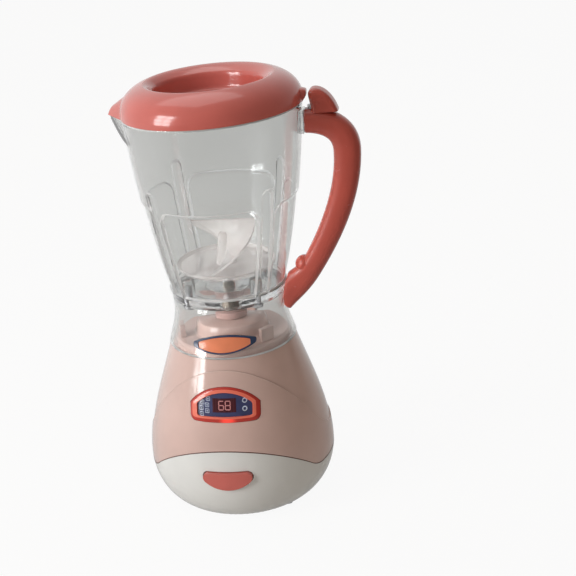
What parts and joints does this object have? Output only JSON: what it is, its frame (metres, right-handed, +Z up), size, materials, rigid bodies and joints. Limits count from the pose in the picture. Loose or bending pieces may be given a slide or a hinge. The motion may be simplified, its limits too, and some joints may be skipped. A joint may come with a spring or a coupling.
{
  "type": "toy juicer",
  "caption": "Toy juicer: battery base with a push button, display and geared motor, and a clear lift-off jug with a swirl rotor, curved handle and lid.",
  "frame": {"origin": "centre of the flat foot, on the table, below the drive axis", "axes": "+Z up along the drive axis, front with button and display at -Y, handle at +X, spout at -X"},
  "size_m": [0.132, 0.1069, 0.241],
  "materials": {
    "tray_white": "satin moulded",
    "cover_white": "satin moulded",
    "shell_pink": "satin pearl moulded",
    "coupling_pink": "satin moulded",
    "coral": "gloss moulded",
    "clear_plastic": "clear polished",
    "clear_rotor": "clear polished",
    "bezel_salmon": "translucent gloss",
    "panel_blue": "printed gloss",
    "badge_orange": "printed gloss",
    "lamp_red": "translucent",
    "board_green": "printed board",
    "switch_black": "moulded",
    "gear_ivory": "moulded",
    "brass": "machined",
    "steel": "ground",
    "screw_steel": "plated",
    "contact_plate": "nickel plated",
    "motor_can": "plated can",
    "cell_sleeve": "printed sleeve"
  },
  "bodies": {
    "base": {"base_tray": "tray_white", "base_shell": "shell_pink", "battery_cover": "cover_white", "cover_screw": "screw_steel", "battery_cells": "cell_sleeve", "battery_contacts": "contact_plate", "base_screws": "screw_steel", "gear_plate": "gear_ivory", "plate_screws": "screw_steel", "motor": "motor_can", "shaft_bush": "brass", "circuit_board": "board_green", "display_lamp": "lamp_red", "display_frame": "bezel_salmon", "display_panel": "panel_blue", "push_switch": "switch_black"},
    "drive": {"drive_coupling": "coupling_pink", "drive_shaft": "steel", "drive_gear": "gear_ivory"},
    "motor_rotor": {"motor_shaft": "steel", "motor_pinion": "brass"},
    "jug": {"jug": "clear_plastic", "jug_skirt": "clear_plastic", "jug_screws": "screw_steel", "handle": "coral", "thumb_rest": "coral", "handle_screw": "screw_steel", "badge": "badge_orange", "rotor_bush": "brass"},
    "rotor": {"rotor_shaft": "steel", "driven_coupling": "coupling_pink", "shaft_collar": "steel", "swirl_rotor": "clear_rotor"},
    "lid": {"lid": "coral"},
    "button": {"start_button": "coral", "switch_plunger": "switch_black"}
  },
  "joints": [
    {"name": "button_press", "type": "slide", "parent": "base", "child": "button", "axis": [0, 1, 0], "range_m": [0, 0.0018], "stiffness_N_per_m": 900},
    {"name": "drive_spin", "type": "hinge", "parent": "base", "child": "drive", "pos_m": [0, 0, 0.08], "axis": [0, 0, 1], "continuous": true},
    {"name": "motor_spin", "type": "hinge", "parent": "base", "child": "motor_rotor", "pos_m": [0, 0.0192, 0.08], "axis": [0, 0, 1], "continuous": true},
    {"name": "jug_lift", "type": "slide", "parent": "base", "child": "jug", "axis": [0, 0, 1], "range_m": [0, 0.08]},
    {"name": "rotor_spin", "type": "hinge", "parent": "jug", "child": "rotor", "pos_m": [0, 0, 0.13], "axis": [0, 0, 1], "continuous": true},
    {"name": "lid_lift", "type": "slide", "parent": "jug", "child": "lid", "axis": [0, 0, 1], "range_m": [0, 0.05]}
  ],
  "couplings": [
    {"joint": "motor_spin", "follows": "drive_spin", "ratio": -3},
    {"joint": "rotor_spin", "follows": "drive_spin", "ratio": 1}
  ]
}
